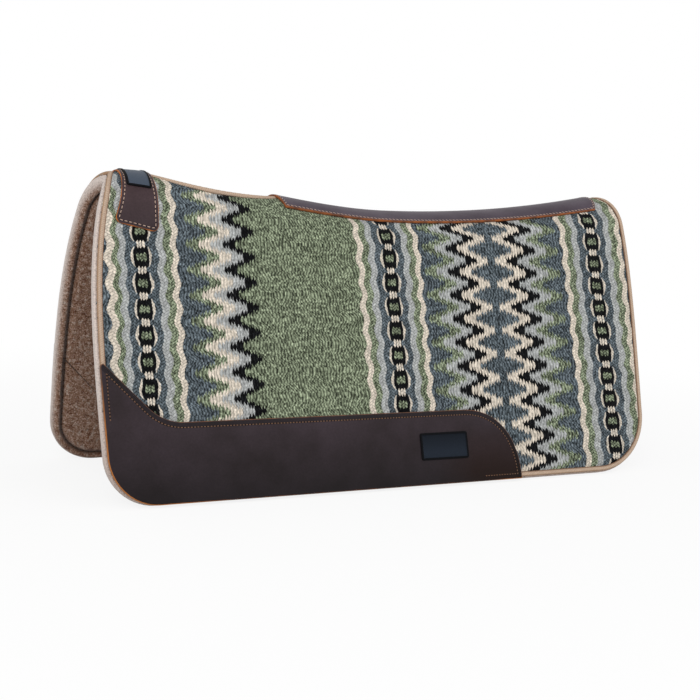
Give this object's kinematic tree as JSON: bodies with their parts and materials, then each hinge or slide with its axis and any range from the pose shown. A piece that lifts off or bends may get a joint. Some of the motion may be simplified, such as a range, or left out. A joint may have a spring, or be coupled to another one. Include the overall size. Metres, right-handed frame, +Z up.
{
  "type": "saddle pad",
  "caption": "Contoured western saddle pad: two arched wool-felt flaps under a woven striped top, with leather wear panels, spine and wither leathers, braided edges and an open wither vent.",
  "frame": {"origin": "middle of the footprint, on the surface that the two flaps stand on", "axes": "+X along the spine towards the loin, with the withers at -X; +Y to the far side; +Z up"},
  "size_m": [0.7938, 0.317, 0.3899],
  "materials": {
    "wool_felt": "needled wool felt, mottled brown and grey",
    "woven_wool": "weft-faced wool weave, sage green with slate, grey, cream and black stripes",
    "tan_braid": "two-ridged tan braid",
    "wear_leather": "smooth dark chocolate leather, satin",
    "spine_leather": "smooth dark brown leather, satin",
    "tab_leather": "smooth dark brown leather, satin",
    "label_rubber": "moulded black label, bare"
  },
  "bodies": {
    "near_half": {"felt_near": "wool_felt", "woven_top_near": "woven_wool", "edge_braid_near": "tan_braid", "vent_braid_near": "tan_braid", "wear_leather_near": "wear_leather", "wear_label": "label_rubber", "spine_leather": "spine_leather", "wither_patch": "tab_leather", "wither_label": "label_rubber"},
    "far_half": {"felt_far": "wool_felt", "woven_top_far": "woven_wool", "edge_braid_far": "tan_braid", "vent_braid_far": "tan_braid", "wear_leather_far": "wear_leather"}
  },
  "joints": [
    {"name": "spine_fold", "type": "hinge", "parent": "near_half", "child": "far_half", "pos_m": [0, 0, 0.386], "axis": [1, 0, 0], "range_deg": [0, 60], "stiffness_Nm_per_rad": 10, "deforming": ["spine_leather", "wither_patch", "wither_label"]}
  ]
}
